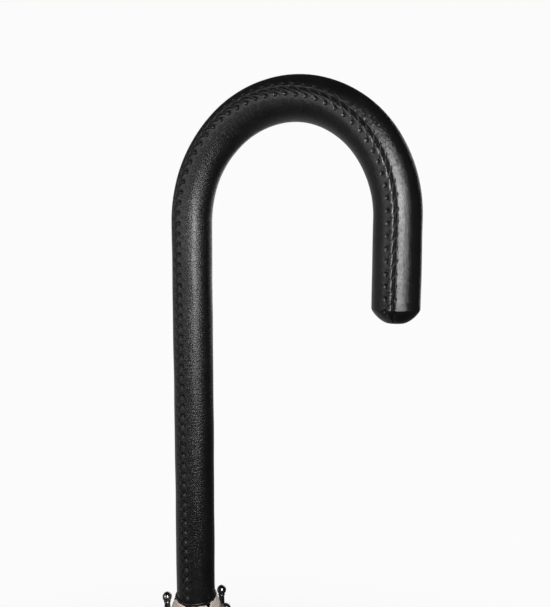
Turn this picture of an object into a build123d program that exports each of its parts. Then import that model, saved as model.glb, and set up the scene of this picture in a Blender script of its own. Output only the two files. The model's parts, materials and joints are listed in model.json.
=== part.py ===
from build123d import *
from math import asin, atan2, cos, degrees, hypot, pi, radians, sin, tan
import os

# Stick umbrella with a leather crook handle, furled: the closed umbrella is also the walking stick.
# Millimetres. The origin is the foot of the ferrule and +Z runs up the shaft to the handle. The crook
# lies in the XZ plane and its nose points to +X. Each rib turns outwards about its pin in the crown.

# Handle
handle_radius = 10.0
leather_wall = 1.5
bend_radius = 53.0
grip_length = 196.0          # straight run, from the lower end of the leather to the bend
nose_length = 43.0           # from the end of the bend to the nose's end face
nose_cap_length = 5.0
nose_cap_round = 4.2
core_socket_depth = 60.0
socket_end_gap = 0.5         # above the shaft's end
handle_pin_radius = 1.0
handle_pin_height = 28.0     # above the lower end of the handle
ring_wall = 0.5
ring_height = 2.2
ring_overlap = 1.4           # how much of the ring lies on the leather
ring_floor = 0.3             # under the leather
ring_clearance = 1.5         # round the shaft
stitch_pitch = 5.0
stitch_length = 3.2
stitch_radius = 0.25
stitch_gap = 0.05            # from the leather

# Shaft and ferrule
shaft_radius = 5.0
shaft_wall = 0.9
shaft_foot = 22.0
ferrule_wall = 1.0
ferrule_flare = 0.9
ferrule_taper_start = 22.0
ferrule_lip = 3.0
ferrule_lip_slope = 0.8
ferrule_length = 58.0
foot_radius = 5.0
foot_length = 12.0
foot_shoulder = 1.1
foot_spigot_length = 8.0
spigot_end_gap = 0.5

# Frame
rib_count = 6
rib_phase = 13.5             # azimuth of the first rib, degrees
crown_height = 72.0          # of the rib pins
stretcher_length = 280.0     # pin to pin, and also from the crown pin to the stretcher's pin on the rib
runner_rest_gap = 6.0        # from the furled runner to the handle
tip_circle = 17.0            # radius of the circle of ball tips when furled
tip_below_grip = 4.0         # ball centres below the lower end of the leather
open_angle = 66.0            # of a rib from the shaft
rib_width = 2.6
rib_depth = 2.2
rib_wall = 0.5
solid_end = 8.0              # of a channel, beyond its groove
lug_width = 1.6
lug_radius = 1.55
lug_reach = 6.0
lug_inset = 0.2              # of a lug's tongue from each face of its rib
lug_overlap = 1.5            # of a lug's tongue and its bar
pin_radius = 0.6
pin_overhang = 1.2           # each side of its slot
slot_clearance = 0.2         # beside a lug in its slot
joint_clearance = 0.35       # between a stretcher's eye and the rib
clip_length = 14.0
clip_wall = 0.35
clip_margin = 0.15           # of a cheek beyond the stretcher's eye
rivet_heads = 0.4            # how far both ends of a rivet stand out, together
stretcher_width = 2.0
stretcher_depth = 2.0

# Ball tips
ball_radius = 2.5
tip_neck_radius = 1.35
tip_wall = 0.84
tip_length = 24.0
tip_socket_depth = 8.0
tip_socket_gap = 0.2         # beyond the rib's end
neck_sunk = 0.3              # of the neck in the ball

# Crown, runner and catches
hub_wall = 1.2
lug_clearance = 0.25         # between a lug and the hub
flange_rim = 0.8             # outside the pins
flange_half_height = 2.2
crown_below = 9.0
crown_above = 5.0
runner_below = 6.0
runner_above = 22.0
collar_wall = 1.2
collar_height = 3.0
window_start = 7.0           # above the stretcher pins
window_length = 11.0
catch_width = 2.0
catch_length = 8.0
catch_reach = 1.9            # beyond the shaft
catch_depth = 0.9            # inside the shaft's bore
catch_sunk = 0.6             # of the wedge's low end, in the shaft
catch_land = 2.0
catch_play = 2.0             # of a catch's slot, beyond each end
catch_azimuth = 43.5
rosette_overhang = 3.6
rosette_thickness = 1.2
rosette_below = 10.2
cap_height = 5.5
cap_chamfer = 2.0

# Furled canopy and its strap
cloth_clearance = 0.43       # from the clips to the cloth's inner face
cloth_edge = 1.2
cloth_crown = 3.4
lead_share = 0.72            # half widths of a panel, as shares of the rib's distance from the shaft
trail_share = 0.45
canopy_start = 14.0          # along the rib from the crown pin
canopy_end_gap = 6.0         # from the base of the tip
snap_gap = 0.02
strap_below_tips = 90.0
strap_height = 16.0
strap_wall = 0.7
strap_gap = 0.8
snap_radius = 5.0
snap_height = 1.6

# Clearances
running = 0.06               # radial, turning or sliding
seated = 0.02                # radial, fixed in place
slipped = 0.1                # radial, slipped over
face_gap = 0.01              # between end faces that meet
past = 1.0                   # how far a cut runs beyond what it cuts

# Worked out from the sizes above
ferrule_radius = shaft_radius + ferrule_wall
ferrule_top_radius = ferrule_radius + ferrule_flare
foot_spigot_radius = foot_radius - foot_shoulder
hub_radius = shaft_radius + hub_wall
pin_circle = hub_radius + lug_radius + lug_clearance    # radius of the pins' circle
flange_radius = pin_circle + pin_radius + flange_rim
rosette_radius = flange_radius + rosette_overhang
catch_root = shaft_radius - shaft_wall - catch_depth
joint_drop = rib_depth / 2 + lug_radius + joint_clearance    # of the stretcher's pin inside the rib
cheek_gap = rib_width / 2 + seated
clip_back = rib_depth / 2 + seated + clip_wall
cloth_gap = clip_back + cloth_clearance
tip_socket_radius = hypot(rib_width / 2, rib_depth / 2) + 3 * seated
tip_base_radius = tip_socket_radius + tip_wall
pin_length = lug_width + 2 * (slot_clearance + pin_overhang)
grip_z = crown_height + 2 * stretcher_length + runner_above + runner_rest_gap
bend_z = grip_z + grip_length
tip_z = grip_z - tip_below_grip
rib_lean = degrees(atan2(tip_circle - pin_circle, tip_z - crown_height))
rib_length = (tip_z - crown_height) / cos(radians(rib_lean))
pin_lean = rib_lean - degrees(asin(joint_drop / stretcher_length))
joint_along = stretcher_length * cos(asin(joint_drop / stretcher_length))
runner_z = crown_height + 2 * stretcher_length * cos(radians(pin_lean))
opening = open_angle - rib_lean
open_runner_z = crown_height + 2 * stretcher_length * cos(radians(pin_lean + opening))


def save(name, shape):
    """Writes one named piece."""
    export_step(shape, f"parts/{name}.step")


def group(solids):
    """Several separate solids under one name."""
    return Compound(children=list(solids))


def rod(radius, low, high, x=0.0):
    """An upright cylinder between two heights."""
    return Pos(x, 0, low) * Cylinder(radius, high - low, align=(Align.CENTER, Align.CENTER, Align.MIN))


def bar(depth, width, low, high):
    """An upright box between two heights, depth along X and width along Y."""
    return Pos(0, 0, low) * Box(depth, width, high - low, align=(Align.CENTER, Align.CENTER, Align.MIN))


def outward_box(reach, width, height):
    """A box that reaches from the origin along +X."""
    return Box(reach, width, height, align=(Align.MIN, Align.CENTER, Align.CENTER))


def cross_rod(radius, length):
    """A cylinder along Y, centred."""
    return Rot(90, 0, 0) * Cylinder(radius, length)


def azimuth(index):
    """Azimuth of one rib about the shaft, in degrees."""
    return rib_phase + index * 360.0 / rib_count


def on_rib(index, shape):
    """Places a shape drawn along +Z from a crown pin, with +X outwards, on one furled rib."""
    return Rot(0, 0, azimuth(index)) * Pos(pin_circle, 0, crown_height) * Rot(0, rib_lean, 0) * shape


# Handle

def crook(radius, low, nose):
    """A round bar that follows the handle: up, over the bend and down the nose."""
    section = Pos(0, 0, bend_z) * Circle(radius)
    bend = revolve(section, Axis((bend_radius, 0, bend_z), (0, 1, 0)), 180)
    return rod(radius, low, bend_z) + bend + rod(radius, bend_z - nose, bend_z, 2 * bend_radius)


def make_handle():
    """The wooden core on its pin, the leather, the nose cap and the ring at the leather's foot."""
    core_radius = handle_radius - leather_wall
    inner_nose = nose_length - nose_cap_length
    core = crook(core_radius, grip_z, inner_nose)
    core -= rod(shaft_radius + seated, grip_z - past, grip_z + core_socket_depth)
    pin_place = Pos(0, 0, grip_z + handle_pin_height)
    core -= pin_place * cross_rod(handle_pin_radius + seated, 4 * core_radius)
    save("handle_core", core)
    save("handle_pin", pin_place * cross_rod(handle_pin_radius, 2 * core_radius - 2 * socket_end_gap))
    leather = crook(handle_radius, grip_z, inner_nose)
    leather -= crook(core_radius + seated, grip_z - past, inner_nose + past)
    save("handle_leather", leather)
    cap = rod(handle_radius, bend_z - nose_length, bend_z - inner_nose - seated, 2 * bend_radius)
    cap = fillet(cap.edges().sort_by(Axis.Z)[0], nose_cap_round)
    save("nose_cap", cap)
    ring_low = grip_z - ring_height + ring_overlap
    ring = rod(handle_radius + ring_wall, ring_low, ring_low + ring_height)
    ring -= rod(handle_radius + seated, grip_z - ring_floor, ring_low + ring_height + past)
    ring -= rod(shaft_radius + ring_clearance, ring_low - past, grip_z)
    save("handle_ring", ring)


def make_stitches():
    """Stitches along the -Y side of the handle, evenly spaced along its centre line."""
    bend_length = pi * bend_radius
    run = grip_length + bend_length + nose_length - nose_cap_length
    count = int((run - 2 * stitch_pitch) / stitch_pitch)
    stitches = []
    for index in range(count):
        along = stitch_pitch * (index + 1)
        if along < grip_length:
            place = Pos(0, 0, grip_z + along)
        elif along < grip_length + bend_length:
            turn = degrees((along - grip_length) / bend_radius)
            place = Pos(bend_radius, 0, bend_z) * Rot(0, turn, 0) * Pos(-bend_radius, 0, 0)
        else:
            place = Pos(2 * bend_radius, 0, bend_z - (along - grip_length - bend_length))
        stitch = Cylinder(stitch_radius, stitch_length)
        stitches.append(place * Pos(0, -handle_radius - stitch_radius - stitch_gap, 0) * stitch)
    save("seam_thread", group(stitches))


# Shaft and ferrule

def catch_slot(height):
    """The slot in the shaft that a catch springs through."""
    slot = outward_box(2 * shaft_radius, catch_width + 2 * slot_clearance, catch_length + 2 * catch_play)
    return Rot(0, 0, catch_azimuth) * Pos(0, 0, height) * slot


def catch(height, square_up):
    """A spring catch: a wedge with one square end that holds the runner."""
    tip = shaft_radius + catch_reach
    half = catch_length / 2
    outline = [
        (catch_root, -half), (shaft_radius - catch_sunk, -half),
        (tip, half - catch_land), (tip, half), (catch_root, half),
    ]
    wedge = extrude(Plane.XZ * make_face(Polyline(*outline, close=True)), catch_width / 2, both=True)
    turned = wedge if square_up else Rot(180, 0, 0) * wedge
    return Rot(0, 0, catch_azimuth) * Pos(0, 0, height) * turned


def make_shaft():
    """The tube, slotted for its two catches, and the catches."""
    window_middle = window_start + window_length / 2
    closed_catch_z = runner_z + window_middle
    open_catch_z = open_runner_z + window_middle
    shaft = rod(shaft_radius, shaft_foot, grip_z + core_socket_depth - socket_end_gap)
    shaft -= rod(shaft_radius - shaft_wall, shaft_foot - past, grip_z + core_socket_depth)
    shaft -= catch_slot(closed_catch_z)
    shaft -= catch_slot(open_catch_z)
    shaft -= Pos(0, 0, grip_z + handle_pin_height) * cross_rod(handle_pin_radius + seated, 4 * shaft_radius)
    save("shaft", shaft)
    save("bottom_catch", catch(closed_catch_z, True))
    save("top_catch", catch(open_catch_z, False))


def make_ferrule():
    """The ferrule and the foot that plugs into it."""
    profile = [
        (0, foot_length), (ferrule_radius, foot_length), (ferrule_radius, ferrule_taper_start),
        (ferrule_top_radius, ferrule_length - ferrule_lip),
        (ferrule_top_radius - ferrule_lip_slope, ferrule_length), (0, ferrule_length),
    ]
    ferrule = revolve(Plane.XZ * make_face(Polyline(*profile, close=True)), Axis.Z)
    ferrule -= rod(shaft_radius + seated, shaft_foot - seated, ferrule_length + past)
    spigot_hole_top = foot_length + foot_spigot_length + spigot_end_gap
    ferrule -= rod(foot_spigot_radius + seated, foot_length - past, spigot_hole_top)
    save("ferrule", ferrule)
    foot = rod(foot_radius, 0, foot_length - seated)
    foot += rod(foot_spigot_radius, foot_length - past, foot_length + foot_spigot_length)
    save("ferrule_tip", foot)


# Crown and runner

def slotted_hub(height, below, above):
    """A collar with a flange that is slotted for each lug and drilled for its pin."""
    hub = rod(hub_radius, height - below, height + above)
    hub += rod(flange_radius, height - flange_half_height, height + flange_half_height)
    slot = outward_box(2 * flange_radius, lug_width + 2 * slot_clearance, 4 * flange_half_height)
    for index in range(rib_count):
        turn = Rot(0, 0, azimuth(index)) * Pos(0, 0, height)
        hub -= turn * Pos(hub_radius, 0, 0) * slot
        hub -= turn * Pos(pin_circle, 0, 0) * cross_rod(pin_radius + seated, pin_length + 2 * past)
    return hub


def hub_pins(height):
    """The six pins of a flange, as one group."""
    pin = cross_rod(pin_radius, pin_length)
    return group(Rot(0, 0, azimuth(index)) * Pos(pin_circle, 0, height) * pin for index in range(rib_count))


def make_crown():
    """The crown with its pins, the cloth rosette under it and the cap that holds them."""
    crown = slotted_hub(crown_height, crown_below, crown_above)
    crown_low = crown_height - crown_below
    crown -= rod(shaft_radius + seated, crown_low - past, crown_height + crown_above + past)
    save("crown", crown)
    save("crown_pins", hub_pins(crown_height))
    rosette_z = crown_height - rosette_below
    rosette = rod(rosette_radius, rosette_z, rosette_z + rosette_thickness)
    rosette -= rod(shaft_radius + slipped, rosette_z - past, rosette_z + rosette_thickness + past)
    save("rosette", rosette)
    cap_low = rosette_z - cap_height
    cap = rod(flange_radius, cap_low + face_gap, rosette_z - face_gap)
    cap = chamfer(cap.edges().sort_by(Axis.Z)[0], cap_chamfer)
    cap -= rod(ferrule_top_radius + slipped, cap_low - past, rosette_z + past)
    save("crown_cap", cap)


def make_runner():
    """The runner, with a window for a catch, and its pins."""
    runner = slotted_hub(runner_z, runner_below, runner_above)
    grip_ring_z = runner_z + runner_above
    runner += rod(hub_radius + collar_wall, grip_ring_z - collar_height, grip_ring_z)
    runner -= rod(shaft_radius + running, runner_z - runner_below - past, grip_ring_z + past)
    window = outward_box(2 * hub_radius, catch_width + 4 * slot_clearance, window_length)
    runner -= Rot(0, 0, catch_azimuth) * Pos(0, 0, runner_z + window_start + window_length / 2) * window
    save("runner", runner)
    save("runner_pins", hub_pins(runner_z))


# Ribs and stretchers

def lug(reach):
    """The eye at an end of a rib or stretcher, on the origin, with a tongue that reaches along +Z."""
    eye = cross_rod(lug_radius, lug_width)
    tongue = bar(rib_depth - 2 * lug_inset, lug_width, 0, reach)
    return eye + tongue - cross_rod(pin_radius + running, 2 * lug_width)


def channel(width, depth, low, high, open_side):
    """A bar of channel section between two distances along +Z, solid for a short way at its ends."""
    groove = bar(depth, width - 2 * rib_wall, low + solid_end, high - solid_end)
    return bar(depth, width, low, high) - Pos(open_side * rib_wall, 0, 0) * groove


def make_rib(index):
    """A channelled rib, and the clip and rivet that join its stretcher to it."""
    end = rib_length - tip_length + tip_socket_depth
    rib = lug(lug_reach) + channel(rib_width, rib_depth, lug_reach - lug_overlap, end - tip_socket_gap, -1)
    save(f"rib_{index + 1}", on_rib(index, rib))
    low = joint_along - clip_length / 2
    high = joint_along + clip_length / 2
    clip = Pos(clip_back - clip_wall / 2, 0, 0) * bar(clip_wall, 2 * cheek_gap + 2 * clip_wall, low, high)
    cheek_depth = clip_back + joint_drop + lug_radius + clip_margin
    for side in (-1, 1):
        cheek = bar(cheek_depth, 2 * clip_wall, low, high)
        clip += Pos(clip_back - cheek_depth / 2, side * (cheek_gap + clip_wall), 0) * cheek
    joint = Pos(-joint_drop, 0, joint_along)
    clip -= joint * cross_rod(pin_radius + seated, 4 * rib_width)
    rivet = joint * cross_rod(pin_radius, 2 * cheek_gap + 4 * clip_wall + rivet_heads)
    save(f"rib_clip_{index + 1}", group([on_rib(index, clip), on_rib(index, rivet)]))


def make_tip(index):
    """A long turned cap with a ball on its end, crimped over the rib."""
    base = rib_length - tip_length
    profile = [
        (0, base), (tip_base_radius, base),
        (tip_neck_radius, rib_length - ball_radius + neck_sunk), (0, rib_length),
    ]
    cap = revolve(Plane.XZ * make_face(Polyline(*profile, close=True)), Axis.Z)
    cap += Pos(0, 0, rib_length) * Sphere(ball_radius)
    cap -= rod(tip_socket_radius, base - past, base + tip_socket_depth)
    save(f"rib_tip_{index + 1}", on_rib(index, cap))


def make_stretcher(index):
    """A stretcher from the runner's pin to its rivet on the rib."""
    end = lug_reach - lug_overlap
    stretcher = lug(lug_reach) + channel(stretcher_width, stretcher_depth, end, stretcher_length - end, 1)
    stretcher += Pos(0, 0, stretcher_length) * Rot(180, 0, 0) * lug(lug_reach)
    joint_x = pin_circle + stretcher_length * sin(radians(pin_lean))
    joint_z = crown_height + stretcher_length * cos(radians(pin_lean))
    place = Rot(0, 0, azimuth(index)) * Pos(joint_x, 0, joint_z) * Rot(0, -pin_lean, 0)
    save(f"stretcher_{index + 1}", place * stretcher)


# Furled canopy

def panel_tilt():
    """Turn of a panel's face from square to its rib, so that it lies in the open canopy's plane."""
    step = radians(360.0 / rib_count)
    lean = radians(open_angle)
    first = Vector(sin(lean), 0, cos(lean))
    second = Vector(sin(lean) * cos(step), sin(lean) * sin(step), cos(lean))
    outward = Vector(cos(lean), 0, -sin(lean))
    normal = second.cross(first).normalized()
    return normal.get_angle(outward)


def panel_section(along, tilt):
    """Section of one furled panel across its rib: flat inside, rounded outside."""
    reach = pin_circle + along * sin(radians(rib_lean))
    lead = lead_share * reach
    trail = -trail_share * reach
    middle = (lead + trail) / 2
    inner, edge, crest = cloth_gap, cloth_gap + cloth_edge, cloth_gap + cloth_crown
    outline = Polyline((edge, trail), (inner, trail), (inner, lead), (edge, lead))
    outline += ThreePointArc((edge, lead), (crest, middle), (edge, trail))
    return Pos(0, 0, along) * Rot(0, 0, tilt) * make_face(outline)


def make_panel(index, tilt):
    """One furled panel of the canopy, drawn as it lies along its rib."""
    end = rib_length - tip_length - canopy_end_gap
    panel = loft([panel_section(canopy_start, tilt), panel_section(end, tilt)], ruled=True)
    save(f"canopy_panel_{index + 1}", on_rib(index, panel))


def make_strap(tilt):
    """The tie strap buttoned round the furled canopy, and its snap."""
    low = tip_z - strap_below_tips
    reach = pin_circle + (low + strap_height - crown_height) * tan(radians(rib_lean))
    edge = Vector(cloth_gap + cloth_edge, -trail_share * reach, 0).rotate(Axis.Z, tilt)
    corner = Vector(reach, 0, 0) + edge
    inner = max(corner.length, reach + cloth_gap + cloth_crown) + strap_gap
    strap = rod(inner + strap_wall, low, low + strap_height)
    strap -= rod(inner, low - past, low + strap_height + past)
    save("tie_strap", strap)
    seat = Pos(inner + strap_wall + snap_gap, 0, low + strap_height / 2)
    save("strap_snap", Rot(0, 0, azimuth(0)) * seat * Rot(0, 90, 0) * rod(snap_radius, 0, snap_height))


os.makedirs("parts", exist_ok=True)
make_handle()
make_stitches()
make_shaft()
make_ferrule()
make_crown()
make_runner()
tilt = panel_tilt()
make_strap(tilt)
for rib_index in range(rib_count):
    make_rib(rib_index)
    make_tip(rib_index)
    make_stretcher(rib_index)
    make_panel(rib_index, tilt)
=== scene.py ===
import json
import logging
import math
from dataclasses import dataclass, field
from enum import Enum

import bpy
import numpy as np
from mathutils import Matrix, Vector


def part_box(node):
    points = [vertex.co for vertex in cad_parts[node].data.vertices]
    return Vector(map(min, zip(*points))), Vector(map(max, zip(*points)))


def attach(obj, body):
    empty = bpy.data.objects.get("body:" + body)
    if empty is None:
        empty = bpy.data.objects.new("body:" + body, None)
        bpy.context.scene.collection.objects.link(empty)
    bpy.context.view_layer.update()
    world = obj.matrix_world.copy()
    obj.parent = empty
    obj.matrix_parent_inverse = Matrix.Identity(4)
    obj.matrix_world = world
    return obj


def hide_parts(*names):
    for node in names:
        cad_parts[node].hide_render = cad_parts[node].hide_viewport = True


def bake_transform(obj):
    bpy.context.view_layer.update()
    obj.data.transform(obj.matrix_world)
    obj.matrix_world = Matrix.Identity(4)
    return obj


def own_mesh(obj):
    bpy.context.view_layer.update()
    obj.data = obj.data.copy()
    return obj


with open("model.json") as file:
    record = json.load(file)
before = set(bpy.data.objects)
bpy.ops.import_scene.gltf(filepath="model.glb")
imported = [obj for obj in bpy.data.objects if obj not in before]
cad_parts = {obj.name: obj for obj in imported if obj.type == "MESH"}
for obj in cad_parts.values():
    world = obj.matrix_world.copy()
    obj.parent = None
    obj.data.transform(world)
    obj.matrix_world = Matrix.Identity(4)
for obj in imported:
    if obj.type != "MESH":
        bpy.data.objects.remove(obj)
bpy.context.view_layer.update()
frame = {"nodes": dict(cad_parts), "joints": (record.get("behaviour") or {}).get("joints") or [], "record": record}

# A stick umbrella with a leather crook handle, furled into a walking stick. Lengths in this file are in
# millimetres, and Surface.finished() turns them into metres in the frame that the construction stands in.
MM = 0.001
log = logging.getLogger("umbrella")
Array = np.ndarray


# Reading the frame

def node_box(node: str) -> tuple[Array, Array]:
    """Corners of a construction node.

    Args:
        node: the node's name.

    Returns:
        Its lowest and highest corner, in millimetres.
    """
    low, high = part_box(node)
    return np.array(low) / MM, np.array(high) / MM


def joint_named(name: str) -> dict:
    """The frame's joint of that name."""
    return next(joint for joint in frame["joints"] if joint["name"] == name)


def unit(vector: Array) -> Array:
    """The vector at length one."""
    return vector / np.linalg.norm(vector)


def smooth(value: Array) -> Array:
    """Smooth step: 0 below 0, 1 above 1, and 3t^2 - 2t^3 between."""
    t = np.clip(value, 0.0, 1.0)
    return t * t * (3.0 - 2.0 * t)


def bell(value: Array, centre: float, width: float) -> Array:
    """Bell curve exp(-((x - centre) / width)^2)."""
    return np.exp(-(((value - centre) / width) ** 2))


def settle(piece: bpy.types.Object, body: str, stands_for: str | None = None) -> None:
    """Puts a finished piece on its body and reports it.

    Args:
        piece: the piece.
        body: the body that it rides on.
        stands_for: the construction node that it is seen in place of, if there is one.
    """
    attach(piece, body)
    if stands_for:
        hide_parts(stands_for)
    log.info("%s on %s: %d faces", piece.name, body, len(piece.data.polygons))


@dataclass(frozen=True)
class RibAxes:
    """One furled rib's own axes, worked out from its joints.

    out, side and along are square to each other, with along up the rib from its pin. normal stands on the
    open canopy's next gore, across lies in that gore, square to the rib, and apex is where the gores meet.
    """

    number: int
    pin: Array
    apex: Array
    out: Array
    side: Array
    along: Array
    normal: Array
    across: Array

    @classmethod
    def of(cls, number: int) -> "RibAxes":
        """Reads the axes of one rib.

        Args:
            number: the rib's number, from 1.

        Returns:
            The rib's axes.
        """
        hinge = joint_named(f"rib_{number}_open")
        spread = joint_named(f"panel_{number}_spread")
        normal = -unit(np.array(spread["axis"]))
        side = unit(np.array(hinge["axis"]))
        side = side if side @ normal > 0 else -side
        out = unit(normal - (normal @ side) * side)
        along = np.cross(out, side)
        pin = np.array(hinge["pos_m"]) / MM
        apex = np.array(spread["pos_m"]) / MM
        return cls(number, pin, apex, out, side, along, normal, np.cross(along, normal))

    def place(self, points: Array) -> Array:
        """Takes (out, side, along) coordinates about the pin to the row frame."""
        return self.pin + points @ np.stack([self.out, self.side, self.along])

    def gore_place(self, points: Array) -> Array:
        """Takes (across, normal, along) coordinates about the apex to the row frame."""
        return self.apex + points @ np.stack([self.across, self.normal, self.along])

    @property
    def azimuth(self) -> float:
        """Azimuth of the rib about the shaft, in radians."""
        return math.atan2(self.pin[1], self.pin[0])


# Surfaces

class Surface:
    """Grids of points gathered into one closed mesh."""

    def __init__(self, name: str) -> None:
        """Starts an empty surface.

        Args:
            name: the piece's name.
        """
        self.name = name
        self.points: list[Array] = []
        self.corners: list[Array] = []
        self.corner_uv: list[Array] = []
        self.sizes: list[Array] = []
        self.hollows: list[Array] = []
        self.polish = 0.0
        self.count = 0

    def _add_points(self, points: Array, hollow: Array | None) -> int:
        """Appends points.

        Args:
            points: the points, whose last axis is x, y, z.
            hollow: how hollow the surface is at each, or None for an open face.

        Returns:
            The first one's number.
        """
        start = self.count
        flat = points.reshape(-1, 3)
        self.points.append(flat)
        self.hollows.append(np.zeros(len(flat)) if hollow is None else hollow.reshape(-1))
        self.count += len(flat)
        return start

    def _add_faces(self, corners: Array, uv: Array) -> None:
        """Appends faces that all have as many corners.

        Args:
            corners: faces x corners, as point numbers.
            uv: texture coordinates of each corner.
        """
        self.corners.append(corners.reshape(-1))
        self.corner_uv.append(uv.reshape(-1, 2))
        self.sizes.append(np.full(len(corners), corners.shape[1]))

    def grid(self, points: Array, uv: Array | None = None, wrap_rows: bool = False, wrap_cols: bool = False,
             cap_first: bool = False, cap_last: bool = False, hollow: Array | None = None) -> "Surface":
        """Adds a grid: each cell between two rows and two columns is a face.

        Args:
            points: rows x columns x 3.
            uv: texture coordinates, with one more row or column where the grid wraps.
            wrap_rows: joins the last row to the first.
            wrap_cols: joins the last column to the first.
            cap_first: closes the first row with a fan about its middle.
            cap_last: closes the last row with a fan about its middle.
            hollow: rows x columns, 0 on the open face to 1 deep in a hollow.

        Returns:
            The surface itself.
        """
        rows, cols = points.shape[:2]
        if uv is None:
            row_uv = np.arange(rows + wrap_rows) / max(rows - 1, 1)
            col_uv = np.arange(cols + wrap_cols) / max(cols - 1, 1)
            uv = np.stack(np.meshgrid(col_uv, row_uv), -1)
        start = self._add_points(points, hollow)
        row = np.arange(rows if wrap_rows else rows - 1)
        col = np.arange(cols if wrap_cols else cols - 1)
        row, col = (x.reshape(-1, 1) for x in np.meshgrid(row, col, indexing="ij"))
        row = row + np.array([0, 1, 1, 0])
        col = col + np.array([0, 0, 1, 1])
        self._add_faces(start + (row % rows) * cols + col % cols, uv[row, col])
        for wanted, at, turn in ((cap_first, 0, 1), (cap_last, rows - 1, -1)):
            if wanted:
                self._fan(points[at], start + at * cols, uv[at], turn)
        return self

    def _fan(self, ring: Array, first: int, uv: Array, turn: int) -> None:
        """Closes a ring of points with triangles about its middle point.

        Args:
            ring: the ring's points.
            first: number of the first one.
            uv: texture coordinates along the ring.
            turn: 1 or -1, the way that the triangles run.
        """
        count = len(ring)
        middle = self._add_points(ring.mean(0), None)
        here = np.arange(count)
        after = (here + 1) % count
        fan = np.stack([np.full(count, middle), first + here, first + after], 1)
        fan_uv = np.stack([np.broadcast_to(uv[:count].mean(0), (count, 2)), uv[here], uv[after]], 1)
        self._add_faces(fan[:, ::turn], fan_uv[:, ::turn])

    def sheet(self, front: Array, back: Array, uv: Array) -> "Surface":
        """Adds a closed sheet: a front and a back grid of one shape, joined round their edges.

        Args:
            front: rows x columns x 3.
            back: the same points on the other face.
            uv: rows x columns x 2.

        Returns:
            The surface itself.
        """
        rows, cols = front.shape[:2]
        loop = np.concatenate([front, back[:, ::-1]], 1)
        loop_uv = np.concatenate([uv, uv[:, ::-1], uv[:, :1]], 1)
        start = self.count
        self.grid(loop, loop_uv, wrap_cols=True)
        here = np.arange(cols - 1)
        for at, turn in ((0, 1), (rows - 1, -1)):
            base = start + at * 2 * cols
            edge = np.stack([base + here, base + here + 1, base + 2 * cols - 2 - here,
                             base + 2 * cols - 1 - here], 1)
            edge_uv = np.stack([uv[at, here], uv[at, here + 1], uv[at, here + 1], uv[at, here]], 1)
            self._add_faces(edge[:, ::turn], edge_uv[:, ::turn])
        return self

    def finished(self, material: bpy.types.Material, sharp: float = 60.0) -> bpy.types.Object:
        """Makes the object, with its faces outwards.

        The enclosed volume is a sixth of the sum of a . (b x c) over the faces' triangles. Where it is
        negative the faces point inwards, and every face's corners are taken the other way round.

        Args:
            material: the piece's finish.
            sharp: edges that turn by more than this, in degrees, stay crisp.

        Returns:
            The new object, at the origin.
        """
        points = np.concatenate(self.points) * MM
        corners = np.concatenate(self.corners)
        uv = np.concatenate(self.corner_uv) * MM
        sizes = np.concatenate(self.sizes)
        starts = np.concatenate([[0], np.cumsum(sizes)[:-1]])
        if self._volume(points, corners, starts, sizes) < 0:
            order = np.concatenate([starts[:, None], sizes[:, None]], 1)
            back = np.repeat(2 * order[:, 0] + order[:, 1] - 1, sizes) - np.arange(len(corners))
            corners, uv = corners[back], uv[back]
        mesh = bpy.data.meshes.new(self.name)
        mesh.vertices.add(len(points))
        mesh.vertices.foreach_set("co", points.astype(np.float32).ravel())
        mesh.loops.add(len(corners))
        mesh.loops.foreach_set("vertex_index", corners.astype(np.int32))
        mesh.polygons.add(len(sizes))
        mesh.polygons.foreach_set("loop_start", starts.astype(np.int32))
        mesh.polygons.foreach_set("use_smooth", np.ones(len(sizes), bool))
        layer = mesh.uv_layers.new(name="lay")
        layer.data.foreach_set("uv", uv.astype(np.float32).ravel())
        hollow = mesh.attributes.new("hollow", "FLOAT", "POINT")
        hollow.data.foreach_set("value", np.concatenate(self.hollows).astype(np.float32))
        polish = mesh.attributes.new("polish", "FLOAT", "POINT")
        polish.data.foreach_set("value", np.broadcast_to(self.polish, len(points)).astype(np.float32).copy())
        mesh.update(calc_edges=True)
        mesh.validate()
        mesh.set_sharp_from_angle(angle=math.radians(sharp))
        mesh.materials.append(material)
        made = bpy.data.objects.new(self.name, mesh)
        bpy.context.scene.collection.objects.link(made)
        return made

    @staticmethod
    def _volume(points: Array, corners: Array, starts: Array, sizes: Array) -> float:
        """Adds up a . (b x c) over the faces' triangles, with a quad as two.

        Args:
            points: the points.
            corners: point numbers, face after face.
            starts: where each face begins in corners.
            sizes: how many corners each face has.

        Returns:
            Six times the volume that the faces enclose.
        """
        a, b, c = (points[corners[starts + step]] for step in (0, 1, 2))
        total = np.einsum("ij,ij->i", a, np.cross(b, c)).sum()
        quads = sizes == 4
        a, b, c = (points[corners[starts[quads] + step]] for step in (0, 2, 3))
        return float(total + np.einsum("ij,ij->i", a, np.cross(b, c)).sum())


def about_shaft(radius: Array, azimuth: Array, height: Array) -> Array:
    """Points about the shaft: (r cos a, r sin a, z), from arrays that broadcast together."""
    radius, azimuth, height = np.broadcast_arrays(radius, azimuth, height)
    return np.stack([radius * np.cos(azimuth), radius * np.sin(azimuth), height], -1)


def turned(profile: Array, sides: int) -> Array:
    """Turns a profile about the Z axis.

    Args:
        profile: points x 2, radius and height.
        sides: how many columns go round.

    Returns:
        points x sides x 3.
    """
    return about_shaft(profile[:, :1], np.arange(sides) * (2 * math.pi / sides), profile[:, 1:])


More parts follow.
